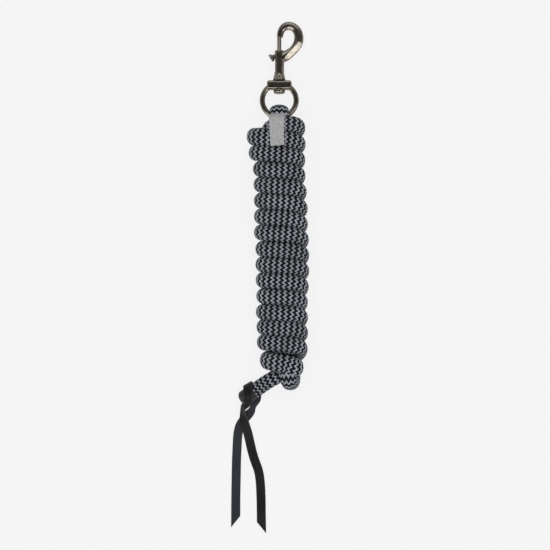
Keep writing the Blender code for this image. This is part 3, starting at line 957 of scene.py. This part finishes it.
def make_label():
    """The label lies over the first turns and the whipping. One slab stands for its folded tape."""
    across, down = 28, 64
    rows = catmull(LABEL_ROWS, 24)
    rows = sampled(np.linspace(0, len(rows) - 1, down), np.arange(len(rows)), rows)
    rope_places = [v.co / MM for v in rope.data.vertices]
    tree = BVHTree.FromPolygons(rope_places, [tuple(p.vertices) for p in rope.data.polygons])
    share = np.linspace(0, 1, across)
    x = rows[:, 1:2] + (rows[:, 2:3] - rows[:, 1:2]) * share
    y = rows[:, :1] + LABEL_SLOPE * share + np.zeros_like(x)
    z = np.zeros_like(x)
    for i in range(down):
        for j in range(across):
            hit = tree.ray_cast(Vector((x[i, j], y[i, j], ABOVE_ALL)), Vector((0, 0, -1)))[0]
            z[i, j] = hit.z if hit else RING_CLEARANCE
            if y[i, j] > RING_FOOT_Y:
                z[i, j] = max(z[i, j], RING_CLEARANCE)
    # Cloth bridges the grooves: it lies on the highest rope near each point, then slackens a little.
    for _ in range(BRIDGE_PASSES):
        padded = np.pad(z, 2, mode="edge")
        near = [padded[a : a + down, b : b + across] for a in range(5) for b in range(5)]
        z = np.max(near, axis=0)
    for _ in range(SLACK_PASSES):
        padded = np.pad(z, 1, mode="edge")
        z = (padded[:-2, 1:-1] + padded[2:, 1:-1] + padded[1:-1, :-2] + padded[1:-1, 2:]) / 4
    z += LABEL_LIFT
    top = np.stack([x, y, z], -1).reshape(-1, 3)
    low = top - (0, 0, LABEL_THICKNESS)
    count = across * down
    faces = []
    for i in range(down - 1):
        for j in range(across - 1):
            a = i * across + j
            faces.append((a, a + across, a + across + 1, a + 1))
            faces.append((count + a, count + a + 1, count + a + across + 1, count + a + across))
    rim = [(i * across, (i + 1) * across) for i in range(down - 1)]
    rim += [((down - 1) * across + j, (down - 1) * across + j + 1) for j in range(across - 1)]
    rim += [((i + 1) * across - 1 + across, (i + 1) * across - 1) for i in range(down - 2, -1, -1)]
    rim += [(j + 1, j) for j in range(across - 2, -1, -1)]
    faces += [(a, a + count, b + count, b) for a, b in rim]
    cloth = make_label_cloth()
    places = np.vstack([top, low])
    label = add_piece("sewn_label", places, faces, "rope", ["woven_label"], [cloth])


make_eye_whipping()
end_whipping = make_end_whipping()
make_label()

# ---------------------------------------------------------------- the popper

STRAP_WIDTH = 8.6
STRAP_THICKNESS = 2.2

# The strap's route, from the left tail's tip, round the rope's end, to the right tail's tip: place,
# and the direction across the strap.
POPPER_ROUTE = [
    (-32.3, -229.7, 1.2, 1, 0, 0),
    (-32.2, -209.1, 1.2, 1, 0, 0),
    (-31.9, -190.3, 1.2, 1, 0, 0),
    (-31.5, -171.5, 1.2, 1, 0, 0),
    (-30.9, -158.0, 1.2, 1, 0, 0),
    (-30.3, -148.0, 1.2, 1, 0, 0),
    (-28.6, -140.0, 1.2, 1, -0.3, 0),
    (-25.6, -134.8, 1.6, 0.85, -0.5, 0),
    (-22.0, -130.8, 2.9, 0.8, -0.5, -0.25),
    (-18.3, -126.5, 4.3, 0.72, -0.42, -0.55),
    (-16.2, -122.2, 5.4, 0.38, -0.15, -0.92),
    (-14.6, -117.4, 4.8, 0.66, -0.25, -0.66),
    (-12.4, -113.2, 3.0, 0.95, 0.05, -0.3),
    (-13.6, -108.6, 1.5, 0.811, 0.585, 0),
    (-16.2, -104.6, 1.4, 0.811, 0.585, 0),
    (-18.8, -101.8, 3.4, 0.811, 0.585, 0),
    (-20.4, -100.3, 7.0, 0.84, 0.53, 0),
    (-20.9, -100.3, 11.5, 0.88, 0.47, 0),
    (-20.9, -102.4, 15.8, 0.92, 0.38, 0),
    (-20.8, -106.2, 18.7, 0.95, 0.3, 0),
    (-20.6, -110.4, 19.4, 0.98, 0.22, 0),
    (-20.7, -113.8, 18.4, 0.98, 0.15, 0.1),
    (-21.6, -117.2, 15.6, 0.85, 0.1, 0.5),
    (-24.3, -120.8, 12.2, 0.36, 0, 0.93),
    (-25.2, -123.0, 9.4, 0.33, 0, 0.94),
    (-25.3, -126.8, 7.4, 0.42, -0.05, 0.9),
    (-25.0, -130.6, 6.2, 0.65, 0, 0.75),
    (-24.4, -134.6, 5.2, 0.88, 0.1, 0.42),
    (-23.0, -139.6, 4.6, 1, 0.15, 0.12),
    (-21.2, -145.2, 3.2, 1, 0.1, 0),
    (-19.6, -151.6, 1.6, 1, 0, 0),
    (-18.2, -158.0, 1.2, 1, 0, 0),
    (-16.4, -165.4, 1.2, 1, 0, 0),
    (-14.0, -173.0, 1.2, 1, 0, 0),
    (-10.9, -181.6, 1.2, 1, 0, 0),
    (-9.2, -192.0, 1.2, 1, 0, 0),
    (-8.4, -208.0, 1.2, 1, 0, 0),
    (-8.2, -222.0, 1.2, 1, 0, 0),
    (-8.0, -235.4, 1.2, 1, 0, 0),
]
# The tips are cut on a slant, over this many rows of the strap.
POINT_SKEW = 1.25
POINT_ROWS = 8
EDGE_BEVEL = 0.45


def make_leather(name, base, dark, rough, grain, shine):
    mat, tree, shader = node_material(name)
    place = add_node(tree, "TexCoord").outputs["Object"]
    cells = add_node(tree, "TexVoronoi", scale=grain)
    link(tree, place, cells.inputs[0])
    creases = noise(tree, place, 90, 4, (1, 0.4, 1))
    patches = noise(tree, place, 35, 3)
    shade = mixed_sum(tree, patches, creases, 0.5)
    ramp = add_ramp(tree, shade, [(0.34, dark), (0.66, base)])
    link(tree, ramp.outputs[0], shader.inputs["Base Color"])
    gloss = add_ramp(tree, creases, [(0.3, rough - 0.08), (0.7, rough + 0.1)])
    link(tree, gloss.outputs[0], shader.inputs["Roughness"])
    add_bump(tree, shader, mixed_sum(tree, cells.outputs["Distance"], creases, 0.6), 0.4, 0.25 * MM)
    shader.inputs["Specular IOR Level"].default_value = shine
    return mat


def make_popper():
    rows = resample(np.array(POPPER_ROUTE), 1.2, 3)
    total = len(rows)
    w, h, r = STRAP_WIDTH / 2, STRAP_THICKNESS / 2, EDGE_BEVEL
    # The strap's section, with its edges bevelled: the upper, then the lower face.
    section = []
    for cx, cy, start in ((w - r, h - r, 0), (r - w, h - r, 90), (r - w, r - h, 180), (w - r, r - h, 270)):
        for step in range(4):
            angle = math.radians(start + 30 * step)
            section.append((cx + r * math.cos(angle), cy + r * math.sin(angle)))
        if start in (0, 180):
            level = cy + r * math.sin(math.radians(start + 90))
            section += [(cx * (1 - 2 * k / 7), level) for k in range(1, 7)]
    u, v = np.array(section).T
    places, faces = sweep(rows[:, :3], [(u, v)] * total, rows[:, 3:])
    places = places.reshape(total, len(u), 3)
    tangents = unit(np.gradient(rows[:, :3], axis=0))
    # A worn strap is never quite even.
    for i in range(total):
        from_tip = min(i, total - 1 - i)
        ease = max(0.0, 1 - from_tip / POINT_ROWS)
        wear = 0.12 * math.sin(0.21 * i) + 0.08 * math.sin(0.53 * i + 1)
        places[i] += np.outer(u, tangents[i]) * POINT_SKEW * ease
        places[i] += np.outer(u * 0.03 * wear, np.array([1.0, 0, 0]))
    places = places.reshape(-1, 3)
    # The flesh side's bluish tone is partly its own colour and partly painted sheen: light that the strap's
    # face would reflect is put into its base colour.
    flesh_and_painted_sheen = make_leather("leather_flesh_side_painted_sheen", (0.03, 0.0345, 0.0455), (0.017, 0.02, 0.028), 0.75, 900, 0.2)
    grain = make_leather("leather_grain_side", (0.013, 0.013, 0.014), (0.005, 0.005, 0.006), 0.55, 1400, 0.12)
    # The edges and cut tips are lighter than either face: a painted highlight along the bevels.
    edge = make_leather("leather_edge_painted_highlight", (0.05, 0.05, 0.052), (0.024, 0.024, 0.025), 0.6, 1400, 0.25)
    looks = [grain, flesh_and_painted_sheen, edge]
    popper = add_piece("leather_popper", places, faces, "popper", ["popper_strap"], looks)
    count = len(u)
    # Edge and tip faces take the painted edge highlight; the upper face takes the flesh side with its painted
    # sheen, the lower face the grain side.
    for polygon in popper.data.polygons:
        if len(polygon.vertices) > 4:
            polygon.material_index = 2
            continue
        c = polygon.index % count
        if abs(v[c]) > h - 0.05 and abs(v[(c + 1) % count]) > h - 0.05:
            polygon.material_index = 1 if v[c] > 0 else 0
        else:
            polygon.material_index = 2


make_popper()
